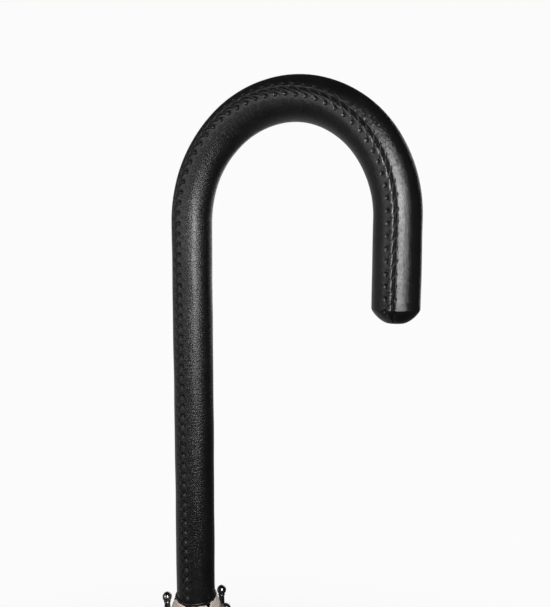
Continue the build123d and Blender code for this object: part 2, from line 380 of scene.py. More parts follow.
def turned_piece(name: str, points: Array, material: bpy.types.Material, sharp: float = 60.0,
                 bored: bool = False) -> bpy.types.Object:
    """Makes a closed piece of a turned profile.

    Args:
        name: the piece's name.
        points: points x sides x 3, as turned() gives them.
        material: its finish.
        sharp: edges that turn by more than this, in degrees, stay crisp.
        bored: True where the profile is a loop, and False where fans close its two ends.

    Returns:
        The new object.
    """
    surface = Surface(name)
    surface.grid(points, wrap_rows=bored, wrap_cols=True, cap_first=not bored, cap_last=not bored)
    return surface.finished(material, sharp)


def arc(centre: tuple[float, float], radius: float, first: float, last: float, steps: int) -> Array:
    """Takes points on an arc in a profile: centre + radius (cos t, sin t).

    Args:
        centre: its centre, as radius and height.
        radius: its radius.
        first: t at the first point, in degrees.
        last: t at the last point, in degrees.
        steps: how many points.

    Returns:
        steps x 2.
    """
    t = np.radians(np.linspace(first, last, steps))
    return np.stack([centre[0] + radius * np.cos(t), centre[1] + radius * np.sin(t)], 1)


def piped(path: Array, radius: Array, sides: int, up: Array) -> Array:
    """Carries a circle along a path: p + r (cos a u + sin a v), with u and v square to the path.

    Args:
        path: points x 3.
        radius: one radius for each point.
        sides: how many columns go round.
        up: a direction that the path never follows.

    Returns:
        points x sides x 3.
    """
    ahead = np.gradient(path, axis=0)
    ahead = ahead / np.linalg.norm(ahead, axis=1, keepdims=True)
    u = np.cross(ahead, up)
    u = u / np.linalg.norm(u, axis=1, keepdims=True)
    v = np.cross(ahead, u)
    angle = (np.arange(sides) * (2 * math.pi / sides))[None, :, None]
    return path[:, None] + radius[:, None, None] * (np.cos(angle) * u[:, None] + np.sin(angle) * v[:, None])


def ripple(*waves: tuple[float, Array]) -> Array:
    """Sum of size x sin(angle), for an unevenness that never repeats."""
    return sum(size * np.sin(angle) for size, angle in waves)


# Finishes

class Value:
    """A shader number that can stand in a sum."""

    def __init__(self, nodes: "Nodes", socket: bpy.types.NodeSocket) -> None:
        """Wraps one output socket of a node tree."""
        self.nodes = nodes
        self.socket = socket

    def _math(self, operation: str, first: "Value | float", second: "Value | float") -> "Value":
        """Adds a Math node for one operation."""
        return self.nodes.node("ShaderNodeMath", {"operation": operation}, {0: first, 1: second})

    def __add__(self, other: "Value | float") -> "Value":
        """self + other."""
        return self._math("ADD", self, other)

    def __radd__(self, other: float) -> "Value":
        """other + self."""
        return self._math("ADD", other, self)

    def __sub__(self, other: "Value | float") -> "Value":
        """self - other."""
        return self._math("SUBTRACT", self, other)

    def __rsub__(self, other: float) -> "Value":
        """other - self."""
        return self._math("SUBTRACT", other, self)

    def __mul__(self, other: "Value | float") -> "Value":
        """self x other."""
        return self._math("MULTIPLY", self, other)

    def __rmul__(self, other: float) -> "Value":
        """other x self."""
        return self._math("MULTIPLY", other, self)

    def least(self, other: "Value | float") -> "Value":
        """The smaller of two values."""
        return self._math("MINIMUM", self, other)


class Nodes:
    """A node tree that new nodes are added to."""

    def __init__(self, tree: bpy.types.NodeTree) -> None:
        """Clears a tree and keeps it."""
        self.tree = tree
        self.tree.nodes.clear()

    def node(self, kind: str, settings: dict | None = None, sockets: dict | None = None,
             output: int | str = 0) -> Value:
        """Adds one node.

        Args:
            kind: the node's type.
            settings: its properties, which are set first; "stops" are a ramp's (place, colour) pairs.
            sockets: its inputs by name or number, as plain values or links.
            output: which output is wanted.

        Returns:
            That output.
        """
        made = self.tree.nodes.new(kind)
        for key, value in (settings or {}).items():
            if key == "stops":
                self._set_stops(made.color_ramp, value)
            else:
                setattr(made, key, value)
        for key, value in (sockets or {}).items():
            if isinstance(value, Value):
                self.tree.links.new(value.socket, made.inputs[key])
            else:
                made.inputs[key].default_value = value
        return Value(self, made.outputs[output])

    @staticmethod
    def _set_stops(ramp: bpy.types.ColorRamp, stops: list) -> None:
        """Gives a ramp its stops.

        Args:
            ramp: the ramp.
            stops: (place, colour) pairs, at least two.
        """
        while len(ramp.elements) < len(stops):
            ramp.elements.new(0.5)
        for element, (place, colour) in zip(ramp.elements, stops):
            element.position = place
            element.color = (*colour, 1.0)


class Shader(Nodes):
    """The node tree of one material, with a Principled surface."""

    def __init__(self, name: str, **constants: float | tuple) -> None:
        """Starts a material.

        Args:
            name: the finish's name.
            constants: values of the surface's own sockets, by socket name with _ for a space.
        """
        self.material = bpy.data.materials.new(name)
        self.material.use_nodes = True
        super().__init__(self.material.node_tree)
        self.output = self.tree.nodes.new("ShaderNodeOutputMaterial")
        self.surface = self.tree.nodes.new("ShaderNodeBsdfPrincipled")
        self.tree.links.new(self.surface.outputs[0], self.output.inputs["Surface"])
        for socket, value in constants.items():
            self.surface.inputs[socket.replace("_", " ")].default_value = value

    def feed(self, socket: str, value: Value) -> None:
        """Links a value to one of the surface's sockets."""
        self.tree.links.new(value.socket, self.surface.inputs[socket])

    def lay(self, scale: tuple[float, float, float] = (1, 1, 1)) -> Value:
        """The piece's own UV coordinates, in metres, scaled."""
        return self.mapped(self.node("ShaderNodeUVMap", {"uv_map": "lay"}), scale)

    def mapped(self, vector: Value, scale: tuple[float, float, float]) -> Value:
        """Coordinates scaled along each axis."""
        return self.node("ShaderNodeMapping", {"vector_type": "POINT"}, {"Vector": vector, "Scale": scale})

    def attribute(self, name: str) -> Value:
        """A number that the mesh keeps at its points."""
        return self.node("ShaderNodeAttribute", {"attribute_name": name}, output="Fac")

    def place(self) -> Value:
        """The piece's object coordinates, in metres."""
        return self.node("ShaderNodeTexCoord", output="Object")

    def noise(self, vector: Value, scale: float, detail: float = 3.0, roughness: float = 0.5) -> Value:
        """Noise from 0 to 1 with so many features to the metre."""
        return self.node("ShaderNodeTexNoise", {"noise_dimensions": "3D"},
                         {"Vector": vector, "Scale": scale, "Detail": detail, "Roughness": roughness})

    def blend(self, share: Value, first: tuple, second: tuple) -> Value:
        """A colour between two, by a share from 0 to 1."""
        mix = {"data_type": "RGBA", "clamp_factor": True}
        return self.node("ShaderNodeMix", mix, {0: share, 6: (*first, 1.0), 7: (*second, 1.0)}, output=2)

    def relief(self, height: Value, distance: float) -> None:
        """Bumps the surface by a height from 0 to 1 times a distance in metres."""
        self.feed("Normal", self.node("ShaderNodeBump", {}, {"Height": height, "Distance": distance}))


@dataclass(frozen=True)
class Leather:
    """Smooth black calf leather: fine grain, faint creases across the grip, matt hollows with painted shade."""

    name: str = "black_leather"
    dark: tuple = (0.0016, 0.0016, 0.0017)
    light: tuple = (0.0042, 0.0042, 0.0045)
    gloss: float = 0.37
    grain: float = 2300.0
    creases: float = 1.0

    def material(self) -> bpy.types.Material:
        """Builds the finish.

        Returns:
            The new material.
        """
        shader = Shader(self.name, Specular_IOR_Level=0.5, Coat_Roughness=0.24, Coat_IOR=1.45)
        lay = shader.lay()
        hollow = shader.attribute("hollow")
        cloud = shader.noise(lay, 90.0, 4.0)
        fine = shader.noise(lay, self.grain, 2.0)
        pores = shader.node("ShaderNodeTexVoronoi", {"feature": "DISTANCE_TO_EDGE"},
                            {"Vector": lay, "Scale": self.grain * 0.55, "Randomness": 0.95})
        crease = shader.noise(shader.lay((150.0, 1050.0, 1.0)), 1.0, 3.0, 0.55)
        patches = shader.noise(shader.lay((70.0, 22.0, 1.0)), 1.0, 2.0)
        # Painted shade in the seam's holes, slit and grooves: the hollow mask darkens the base colour.
        shader.feed("Base Color", shader.blend(cloud * (1 - hollow), self.dark, self.light))
        # Painted shade: metallic with the near-black base dims reflections in the hollows, and they lose the coat.
        shader.feed("Metallic", hollow * 0.8)
        shader.feed("Coat Weight", 0.12 * (1 - hollow))
        rough = self.gloss + 0.14 * (cloud - 0.5) + 0.10 * (fine - 0.5) + 0.40 * hollow
        shader.feed("Roughness", rough - 0.14 * shader.attribute("polish"))
        height = pores.least(0.35) * 0.8 + fine * 0.5 + crease * patches * (1.6 * self.creases)
        shader.relief(height, 0.00022)
        return shader.material


@dataclass(frozen=True)
class Cloth:
    """Taupe umbrella cloth: a fine plain weave with a soft sheen."""

    name: str = "taupe_cloth"
    light: tuple = (0.53, 0.455, 0.405)
    dark: tuple = (0.42, 0.355, 0.315)
    pitch: float = 0.0006

    def material(self) -> bpy.types.Material:
        """Builds the finish: warp and weft threads of uneven thickness, with a slow shade over them.

        Returns:
            The new material.
        """
        shader = Shader(self.name, Sheen_Weight=0.25, Sheen_Roughness=0.4, Specular_IOR_Level=0.35)
        lay = shader.lay()
        warp = shader.noise(shader.lay((1 / self.pitch, 120.0, 1.0)), 1.0, 2.0)
        weft = shader.noise(shader.lay((120.0, 1 / self.pitch, 1.0)), 1.0, 2.0)
        cloud = shader.noise(lay, 35.0, 4.0, 0.6)
        weave = warp * 0.5 + weft * 0.5
        shader.feed("Base Color", shader.blend(cloud * 0.6 + weave * 0.4, self.dark, self.light))
        shader.feed("Roughness", 0.72 + 0.12 * (cloud - 0.5) - 0.10 * (weave - 0.5))
        shader.relief(weave, 0.00012)
        return shader.material


@dataclass(frozen=True)
class Metal:
    """Plated or bare metal: turning marks, worn lighter in patches and dulled in others."""

    name: str
    bright: tuple
    worn: tuple
    gloss: float
    marks: tuple = (60.0, 60.0, 2600.0)

    def material(self) -> bpy.types.Material:
        """Builds the finish.

        Returns:
            The new material.
        """
        shader = Shader(self.name, Metallic=1.0)
        place = shader.place()
        cloud = shader.noise(place, 210.0, 4.0, 0.6)
        lines = shader.noise(shader.mapped(place, self.marks), 1.0, 3.0)
        stops = [(0.5, (0, 0, 0)), (0.72, (1, 1, 1))]
        wear = shader.node("ShaderNodeValToRGB", {"stops": stops}, {"Fac": cloud})
        shader.feed("Base Color", shader.blend(wear * 0.6 + lines * 0.2, self.bright, self.worn))
        shader.feed("Roughness", self.gloss + 0.12 * (cloud - 0.5) + 0.10 * (lines - 0.5))
        shader.relief(lines, 0.00001)
        return shader.material


@dataclass(frozen=True)
class Coated:
    """Painted, moulded or spun stuff: one colour with a faint mottle, a grain and its gloss."""

    name: str
    dark: tuple
    light: tuple
    gloss: float
    grain: tuple = (700.0, 700.0, 700.0)
    depth: float = 0.00002
    coat: float = 0.0

    def material(self) -> bpy.types.Material:
        """Builds the finish.

        Returns:
            The new material.
        """
        shader = Shader(self.name, Coat_Weight=self.coat, Coat_Roughness=0.12)
        place = shader.place()
        cloud = shader.noise(place, 60.0, 4.0)
        grain = shader.noise(shader.mapped(place, self.grain), 1.0, 3.0)
        shader.feed("Base Color", shader.blend(cloud * 0.6 + grain * 0.4, self.dark, self.light))
        shader.feed("Roughness", self.gloss + 0.15 * (cloud - 0.5) + 0.10 * (grain - 0.5))
        shader.relief(grain, self.depth)
        return shader.material


class Slot(Enum):
    """The record's material slots, each with its finish."""

    WOOD = Coated("core_wood", (0.38, 0.23, 0.12), (0.58, 0.40, 0.23), 0.62, (900.0, 900.0, 40.0), 0.00006)
    STEEL = Metal("steel", (0.56, 0.57, 0.58), (0.36, 0.36, 0.37), 0.27)
    LEATHER = Leather()
    WELT = Leather("black_welt", gloss=0.42, grain=3200.0, creases=0.3)
    THREAD = Coated("black_thread", (0.004, 0.004, 0.005), (0.016, 0.016, 0.018), 0.66, (4200.0,) * 3)
    LACQUER = Coated("black_lacquer", (0.006, 0.006, 0.007), (0.012, 0.012, 0.013), 0.30, coat=0.5)
    NICKEL = Metal("dark_nickel", (0.24, 0.235, 0.23), (0.44, 0.43, 0.42), 0.22)
    BRASS = Metal("worn_brass", (0.62, 0.47, 0.22), (0.36, 0.27, 0.13), 0.34)
    MOULDING = Coated("black_moulding", (0.010, 0.010, 0.011), (0.020, 0.020, 0.022), 0.44)
    CLOTH = Cloth()

    @property
    def slot_name(self) -> str:
        """The slot's name in the record."""
        return self.value.name


class Finishes:
    """Each slot's material, made once."""

    def __init__(self) -> None:
        """Builds every slot's material."""
        self.made = {slot: slot.value.material() for slot in Slot}

    def of(self, slot: Slot) -> bpy.types.Material:
        """The material of one slot."""
        return self.made[slot]

    def dress(self, node: str, slot: Slot) -> None:
        """Gives a construction node that stays in view its finish.

        Args:
            node: the node's name.
            slot: the finish.
        """
        piece = frame["nodes"][node]
        piece.data.materials.clear()
        piece.data.materials.append(self.of(slot))


# The handle

@dataclass
class Crook:
    """The leather crook: a tube round the hooked core, sewn along one side and puckered at each stitch."""

    finishes: Finishes
    radius: float = field(init=False)
    wall: float = 1.4
    bend: float = field(init=False)
    grip_foot: float = field(init=False)
    bend_height: float = field(init=False)
    nose_foot: float = field(init=False)
    nose_round: float = 6.0
    nose_narrow: float = 6.4
    pitch: float = 5.0
    row_step: float = 0.43

    def __post_init__(self) -> None:
        """Takes the handle's sizes from its construction nodes."""
        low, high = node_box("handle_leather")
        self.radius = round(float(high[1]), 1)
        self.bend = round(float(high[0] - self.radius) / 2, 1)
        self.grip_foot = round(float(low[2]), 1)
        self.bend_height = round(float(high[2]) - self.bend - self.radius, 1)
        self.nose_foot = round(float(node_box("nose_cap")[0][2]), 1)

    @property
    def grip(self) -> float:
        """Length of the straight grip."""
        return self.bend_height - self.grip_foot

    @property
    def full(self) -> float:
        """Length of the centre line from the foot of the grip to where the nose begins to round."""
        return self.grip + math.pi * self.bend + self.bend_height - self.nose_foot - self.nose_round

    def line(self, along: Array) -> tuple[Array, Array]:
        """The handle's centre line: straight up, half a turn in the XZ plane, and straight down.

        Args:
            along: distances from the foot of the grip.

        Returns:
            The points, and at each the direction towards the inside of the bend.
        """
        turn = np.clip((along - self.grip) / self.bend, 0.0, math.pi)
        rise = np.minimum(along, self.grip) - np.maximum(along - self.grip - math.pi * self.bend, 0.0)
        points = np.stack([self.bend * (1 - np.cos(turn)), 0 * turn,
                           self.grip_foot + rise + self.bend * np.sin(turn)], -1)
        inward = np.stack([np.cos(turn), 0 * turn, -np.sin(turn)], -1)
        return points, inward

    def round_about(self, along: Array, angle: Array, radius: Array) -> Array:
        """Points round the centre line: p + r (cos a (-Y) + sin a inward), with a from the seam's side.

        Args:
            along: distances along the centre line, one for each row.
            angle: angles, rows x columns.
            radius: radii, rows x columns.

        Returns:
            rows x columns x 3.
        """
        points, inward = self.line(along)
        outwards = np.array([0.0, -1.0, 0.0])
        across = np.cos(angle)[..., None] * outwards + np.sin(angle)[..., None] * inward[:, None]
        return points[:, None] + radius[..., None] * across

    def seam_angle(self, along: Array) -> Array:
        """The seam starts facing sideways at the foot of the grip and drifts to the outside of the bend."""
        stations = [0.0, self.grip, self.grip + 0.5 * math.pi * self.bend, self.full]
        return np.radians(np.interp(along, stations, [1.0, -19.0, -16.5, -12.0]))

    def hole_row(self, along: Array) -> Array:
        """Distance of the inner row of holes from the seam's slit."""
        stations = [0.0, self.grip, self.grip + 0.5 * math.pi * self.bend, self.full]
        return np.interp(along, stations, [2.45, 3.25, 2.9, 3.3])

    def outer_row(self, along: Array) -> Array:
        """Distance of the outer row of holes from the slit."""
        return np.interp(along, [self.grip + 60, self.grip + 140], [1.9, 1.0])

    def slant(self, along: Array) -> Array:
        """How far a stitch leans along the handle for each millimetre across it, growing over the bend."""
        stations = [0.0, self.grip, self.grip + 45, self.grip + 95, self.full]
        return np.interp(along, stations, [0.1, 0.5, 1.0, 1.8, 1.1])

    def seam_relief(self, along: Array, across: Array) -> tuple[Array, Array]:
        """Height of the leather about its seam.

        A slit runs along the seam and wavers once a stitch. Each stitch pulls a slanting groove from a deep
        hole on the inner side, through the slit, to a small hole on the outer side, and the leather between
        two grooves puffs up like a strand of rope. The hole row has small bumps beside it.

        Args:
            along: distances along the handle, rows x 1.
            across: distances from the seam, towards the inside of the bend, rows x columns.

        Returns:
            The height, and how hollow each point is, from 0 to 1.
        """
        row, outer_row = self.hole_row(along), self.outer_row(along)
        over = smooth((along - self.grip + 20) / 70)
        nose = smooth((along - self.grip - 78) / 48)
        uneven = 0.09 * np.sin(along * 0.46) + 0.06 * np.sin(along * 1.02 + 1.0)
        step = along - np.round(along / self.pitch) * self.pitch
        lean = along - self.slant(along) * (across - row)
        lean = lean - np.round(lean / self.pitch) * self.pitch
        beat = 2 * math.pi * lean / self.pitch
        slit = bell(across, 0.24 * np.cos(beat) * (1 - 0.6 * nose) + 0.5 * uneven, 0.38 + 0.14 * nose)
        inner = np.abs(across - row - uneven) / 1.1 + np.abs(step + 0.1) / 1.05
        outer = np.abs(across + outer_row - uneven) / 0.6 + np.abs(lean) / 0.7
        holes = np.clip(1.5 * (1 - inner), 0, 1) * (1 - 0.4 * nose) + 0.55 * np.clip(1.3 * (1 - outer), 0, 1)
        inside = smooth((across + 0.1) / 0.5) * smooth((row + 0.4 - across) / 0.8)
        outside = smooth((0.1 - across) / 0.5) * smooth((across + outer_row + 0.5) / 1.2)
        groove = bell(lean, 0.0, 0.55 - 0.18 * nose) * (inside + 0.45 * outside)
        crest = bell(across, 0.5 * row - 0.25 * nose, 0.42 * row - 0.35 * nose)
        puff = (0.5 - 0.5 * np.cos(beat)) * (1 - 0.5 * nose) + 0.5 * nose
        lip = bell(across, -0.9, 0.55) * (0.7 + 0.3 * np.cos(beat)) * (1 - 0.5 * nose)
        bumps = bell(across, row + 1.55, 0.8) * bell(step, -1.1, 1.15) * (1 - 0.9 * nose)
        outer_bumps = bell(across, -outer_row - 1.0, 0.6) * bell(lean, 0.6, 1.0) * (1 - nose)
        height = ((0.26 + 0.24 * over - 0.14 * nose) * puff * crest - (0.16 + 0.12 * over) * groove
                  + 0.10 * lip + 0.13 * bumps + 0.12 * over * outer_bumps
                  - (0.62 + 0.15 * nose) * slit - 0.95 * holes)
        return height, np.clip(0.9 * slit + 1.4 * holes + 0.3 * groove, 0, 1)

    def columns(self) -> Array:
        """Spaces the columns round the tube, close together beside the seam and wider apart elsewhere.

        Returns:
            Their distances from the seam.
        """
        first, last = -3.4, 5.6
        near = np.linspace(first, last, 39)
        far = np.linspace(last, 2 * math.pi * self.radius + first, 42)[1:-1]
        return np.concatenate([near, far])

    def cover(self) -> bpy.types.Object:
        """The leather: r = radius + seam relief + a slow unevenness.

        It is rounded in at the nose and has an inner wall.

        Returns:
            The closed cover.
        """
        round_tube = 2 * math.pi * self.radius
        reach = self.columns()
        across = np.where(reach > round_tube / 2, reach - round_tube, reach)[None, :]
        straight = np.linspace(0.0, self.full, int(self.full / self.row_step))
        curl = np.linspace(0.0, math.pi / 2, 22)[1:]
        along = np.concatenate([straight, self.full + self.nose_round * np.sin(curl) ** 1.45])
        drawn_in = np.concatenate([0 * straight, self.nose_narrow * (1 - np.cos(curl) ** 1.45)])[:, None]
        fading = np.concatenate([1 + 0 * straight, np.cos(curl)])[:, None]
        rows = along[:, None]
        height, hollow = self.seam_relief(rows, across + 0 * rows)
        angle = self.seam_angle(rows) + reach[None, :] / self.radius
        slow = ripple((0.05, rows / 9.0 + 2 * angle), (0.05, rows / 23.0 - angle),
                      (0.03, rows / 4.7 + 3 * angle + 1.0))
        slow = slow * smooth(rows / 8)
        outer = self.round_about(along, angle, self.radius + fading * (height + slow) - drawn_in)
        mouth = [self.full + 4.6, self.full + 1.4]
        lining = np.concatenate([mouth, np.linspace(self.full - 0.9, 0.0, 70)])
        lining_radius = np.full((len(lining), 1), self.radius - self.wall)
        lining_radius[:len(mouth)] = self.radius - self.nose_narrow - 0.25
        lining_angle = self.seam_angle(lining)[:, None] + reach[None, :] / self.radius
        inner = self.round_about(lining, lining_angle, lining_radius + 0 * lining_angle)
        all_rows = np.concatenate([along, lining])
        uv = np.meshgrid(np.append(reach, round_tube + reach[0]), np.append(all_rows, 0.0))
        surface = Surface("leather_cover")
        surface.grid(np.concatenate([outer, inner]), np.stack(uv, -1), wrap_rows=True, wrap_cols=True,
                     hollow=np.concatenate([hollow * fading, 0 * inner[..., 0]]))
        surface.polish = np.repeat(smooth((all_rows - self.grip - 60) / 70), len(reach))
        return surface.finished(self.finishes.of(Slot.LEATHER))

    def plug(self) -> bpy.types.Object:
        """The small leather disc let into the nose's end: a shallow dome with a rounded rim.

        Returns:
            The closed disc.
        """
        clearance, edge = 0.30, 0.7
        rim = self.radius - self.nose_narrow - clearance
        foot, top = self.nose_foot + 0.35, self.nose_foot + self.nose_round - 1.2
        dome = np.linspace(0.02, rim - edge, 8)
        lower = np.stack([dome, foot - 0.25 * (1 - (dome / rim) ** 2)], 1)
        profile = np.concatenate([lower, arc((rim - edge, foot + edge), edge, -90, 0, 6), [[rim, top]]])
        points = turned(profile, 48) + np.array([2 * self.bend, 0, 0])
        return turned_piece("nose_disc", points, self.finishes.of(Slot.LEATHER))

    def stitches(self) -> bpy.types.Object:
        """The seam's thread, which lies in each stitch's groove from the inner hole to the outer one.

        Its depth below the leather is 0.34 + 0.5 |2t - 1|^3 as t goes from 0 to 1 along it.

        Returns:
            All the stitches, as one piece.
        """
        surface = Surface("seam_stitches")
        count = int((self.full - self.pitch) / self.pitch)
        thread_radius = 0.22
        t = np.linspace(0.0, 1.0, 9)
        depth = 0.34 + 0.5 * np.abs(2 * t - 1) ** 3
        for number in range(1, count + 1):
            at = number * self.pitch
            row = float(self.hole_row(np.array(at)))
            across = row - t * (row + float(self.outer_row(np.array(at))))
            along = at + float(self.slant(np.array(at))) * (across - row)
            angle = self.seam_angle(along)[:, None] + across[:, None] / self.radius
            path = self.round_about(along, angle, self.radius - depth[:, None])[:, 0]
            rings = piped(path, np.full(len(t), thread_radius), 6, unit(np.array([0.3, 1.0, 0.2])))
            surface.grid(rings, wrap_cols=True, cap_first=True, cap_last=True)
        return surface.finished(self.finishes.of(Slot.THREAD))

    def welt(self) -> bpy.types.Object:
        """The thin rolled ring at the foot of the leather.

        Returns:
            The closed ring.
        """
        (_, _, low), (_, out, high) = node_box("handle_ring")
        seat, shaft_side = self.radius + 0.06, self.radius - 3.2
        profile = np.concatenate([
            [(seat, high - 0.25)], arc((out - 0.32, high - 0.32), 0.32, 100, 0, 6),
            arc((out - 0.42, low + 0.42), 0.42, 0, -90, 6),
            [(shaft_side, low), (shaft_side, self.grip_foot - 0.05), (seat, self.grip_foot - 0.05)],
        ])
        return turned_piece("welt_ring", turned(profile, 96), self.finishes.of(Slot.WELT), bored=True)

    def build(self) -> None:
        """Makes the handle's pieces and puts them on the frame."""
        settle(self.cover(), "frame", "handle_leather")
        settle(self.plug(), "frame", "nose_cap")
        settle(self.stitches(), "frame", "seam_thread")
        settle(self.welt(), "frame", "handle_ring")
        self.finishes.dress("handle_core", Slot.WOOD)
        self.finishes.dress("handle_pin", Slot.STEEL)


# Metalwork

@dataclass
class Metalwork:
    """Ferrule, crown, runner, ribs, stretchers and ball tips."""

    finishes: Finishes
    ribs: list[RibAxes]
    ball: float = 2.5
    neck: float = 1.5
    cap_mouth: float = 2.6
    cap_wall: float = 0.84
    cap_length: float = 24.0
    socket: float = 8.0

    def tip(self, rib: RibAxes) -> bpy.types.Object:
        """A ball tip: a long turned cap with a rolled mouth, a narrow neck with a collar, and a ball.

        Args:
            rib: the rib that it is crimped on.

        Returns:
            The closed cap.
        """
        ball_top = node_box(f"rib_tip_{rib.number}")[1][2]
        centre = (ball_top - self.ball - rib.pin[2]) / rib.along[2]
        base = centre - self.cap_length
        bore = self.cap_mouth - self.cap_wall
        top = centre - self.ball * math.cos(math.asin(self.neck / self.ball))
        taper = np.linspace(0, 1, 8)[:, None]
        wide, slim = np.array([[self.cap_mouth - 0.15, base + 2.2]]), np.array([[self.neck, top - 1.1]])
        cone = (1 - taper) * wide + taper * slim
        begin = math.degrees(math.asin(self.neck / self.ball)) - 90
        profile = np.concatenate([
            [(0.02, base + self.socket), (bore, base + self.socket - 0.3), (bore, base)],
            arc((self.cap_mouth - 0.45, base + 0.5), 0.55, -90, 0, 5),
            arc((self.cap_mouth - 0.5, base + 1.2), 0.5, 20, 60, 3), cone,
            arc((self.neck, top - 0.65), 0.38, -80, 80, 7),
            arc((0.0, centre), self.ball, begin + 2, 89, 22),
        ])
        points = rib.place(turned(profile, 40))
        return turned_piece(f"ball_tip_{rib.number}", points, self.finishes.of(Slot.NICKEL), sharp=50)

    def ferrule(self) -> bpy.types.Object:
        """The long ferrule: a tapered sleeve with a rolled lip and two turned grooves.

        Returns:
            The closed sleeve.
        """
        (_, _, foot), (_, mouth, top) = node_box("ferrule")
        taper = foot + 10.0
        narrow = mouth - 0.9
        lower_bore, upper_bore = 4.92, 5.06
        profile = np.concatenate([
            [(lower_bore, foot), (narrow - 0.5, foot)],
            arc((narrow - 0.5, foot + 0.5), 0.5, -90, 0, 5), [(narrow, taper)],
            self.groove(narrow, mouth, taper, top, 0.30), self.groove(narrow, mouth, taper, top, 0.36),
            [(mouth - 0.12, top - 6.4)], arc((mouth - 0.7, top - 1.4), 0.75, -25, 75, 9),
            [(upper_bore, top - 0.6), (upper_bore, taper + 0.2), (lower_bore, taper)],
        ])
        return turned_piece("ferrule_sleeve", turned(profile, 72), self.finishes.of(Slot.NICKEL), sharp=40,
                            bored=True)

    @staticmethod
    def groove(narrow: float, mouth: float, low: float, high: float, share: float) -> Array:
        """Profile of a small round groove in the ferrule's taper.

        Args:
            narrow: radius at the taper's foot.
            mouth: radius at its top.
            low: height of its foot.
            high: height of its top.
            share: where the groove lies, from 0 at the foot to 1 at the top.

        Returns:
            Points x 2, radius and height.
        """
        height = low + share * (high - low)
        radius = narrow + share * (mouth - narrow)
        return arc((radius + 0.1, height), 0.42, -100, -260, 9)

    def foot(self) -> bpy.types.Object:
        """The worn end cap that stands on the ground, slightly domed and rounded at its rim.

        Returns:
            The closed cap.
        """
        stem, stem_top = 3.85, node_box("ferrule_tip")[1][2]
        radius, shoulder = 5.0, node_box("ferrule")[0][2] - 0.05
        profile = np.concatenate([
            [(0.02, 0.0), (2.2, 0.04)], arc((radius - 1.3, 1.3), 1.3, -88, 0, 9),
            [(radius, shoulder - 3.0)], arc((radius + 0.12, shoulder - 2.4), 0.34, -120, -240, 6),
            [(radius, shoulder - 1.8), (radius, shoulder), (stem, shoulder), (stem, stem_top)],
        ])
        return turned_piece("foot_cap", turned(profile, 64), self.finishes.of(Slot.BRASS), sharp=40)

    def crown_button(self) -> bpy.types.Object:
        """The turned cap over the rosette.

        Returns:
            The closed ring.
        """
        (_, _, foot), (_, out, top) = node_box("crown_cap")
        bore = node_box("ferrule")[1][1] + 0.12
        profile = np.concatenate([
            [(bore, foot + 0.2)], arc((bore + 0.6, foot + 0.5), 0.5, -120, -60, 4),
            arc((out - 2.6, foot + 2.6), 2.6, -70, -5, 9), [(out - 0.05, foot + 3.2)],
            arc((out + 0.1, foot + 3.7), 0.35, -120, -240, 6),
            arc((out - 0.5, top - 0.5), 0.5, 0, 90, 5), [(bore, top)],
        ])
        return turned_piece("crown_button", turned(profile, 72), self.finishes.of(Slot.NICKEL), sharp=40,
                            bored=True)

    def build(self) -> None:
        """Makes the turned pieces and finishes the construction nodes that stay in view."""
        settle(self.ferrule(), "frame", "ferrule")
        settle(self.foot(), "frame", "ferrule_tip")
        settle(self.crown_button(), "frame", "crown_cap")
        for rib in self.ribs:
            settle(self.tip(rib), f"rib_{rib.number}", f"rib_tip_{rib.number}")
            self.finishes.dress(f"rib_{rib.number}", Slot.LACQUER)
            self.finishes.dress(f"rib_clip_{rib.number}", Slot.STEEL)
            self.finishes.dress(f"stretcher_{rib.number}", Slot.LACQUER)
        for node, slot in (("shaft", Slot.LACQUER), ("crown", Slot.NICKEL), ("crown_pins", Slot.STEEL),
                           ("runner", Slot.MOULDING), ("runner_pins", Slot.STEEL),
                           ("bottom_catch", Slot.STEEL), ("top_catch", Slot.STEEL),
                           ("strap_snap", Slot.NICKEL)):
            self.finishes.dress(node, slot)


# The canopy

class Half(Enum):
    """Which of its two ribs a half of a gore is sewn to."""

    NEAR = "near"
    FAR = "far"


